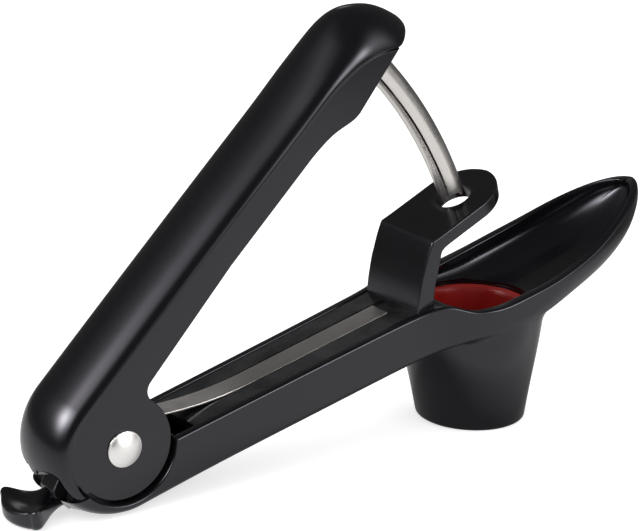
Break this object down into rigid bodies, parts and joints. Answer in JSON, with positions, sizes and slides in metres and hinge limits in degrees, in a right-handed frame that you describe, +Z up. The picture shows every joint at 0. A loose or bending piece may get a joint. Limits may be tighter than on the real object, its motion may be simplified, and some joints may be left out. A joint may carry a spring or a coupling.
{
  "type": "cherry pitter",
  "caption": "Hand-held lever pitter: sprung handles drive a curved steel tube through a guide into a silicone-lined cup with a splash shield",
  "frame": {"origin": "on the table, at the middle of the tool's length and width", "axes": "+X runs from the pivot to the splash shield, +Y is along the pivot's axis, +Z is up with the cup and the round tail on the table"},
  "size_m": [0.171, 0.0338, 0.1016],
  "materials": {
    "handle_plastic": "polished black moulding with soft reflections",
    "insert_plastic": "polished black moulding, fine flow marks",
    "liner_silicone": "smooth deep red silicone",
    "plunger_steel": "drawn stainless tube, satin, with an open seam",
    "spring_steel": "rolled spring strip, satin with bright edges",
    "rivet_steel": "turned steel, satin domed heads"
  },
  "bodies": {
    "base": {"lower_handle": "handle_plastic", "guide_insert": "insert_plastic", "insert_screws": "rivet_steel", "cup_liner": "liner_silicone", "leaf_spring": "spring_steel", "pivot_barrel": "rivet_steel", "pivot_stud": "rivet_steel", "latch_pin": "rivet_steel"},
    "lever": {"upper_handle": "handle_plastic", "plunger": "plunger_steel", "plunger_pin": "plunger_steel"},
    "latch": {"lock_latch": "insert_plastic"}
  },
  "joints": [
    {"name": "lever_hinge", "type": "hinge", "parent": "base", "child": "lever", "pos_m": [-0.0641, 0, 0.0152], "axis": [0, 1, 0], "range_deg": [0, 24], "stiffness_Nm_per_rad": 0.8, "springref_deg": -17.19, "deforming": ["leaf_spring"]},
    {"name": "latch_hinge", "type": "hinge", "parent": "base", "child": "latch", "pos_m": [-0.07319, 0, 0.00454], "axis": [0, 1, 0], "range_deg": [0, 20]}
  ]
}
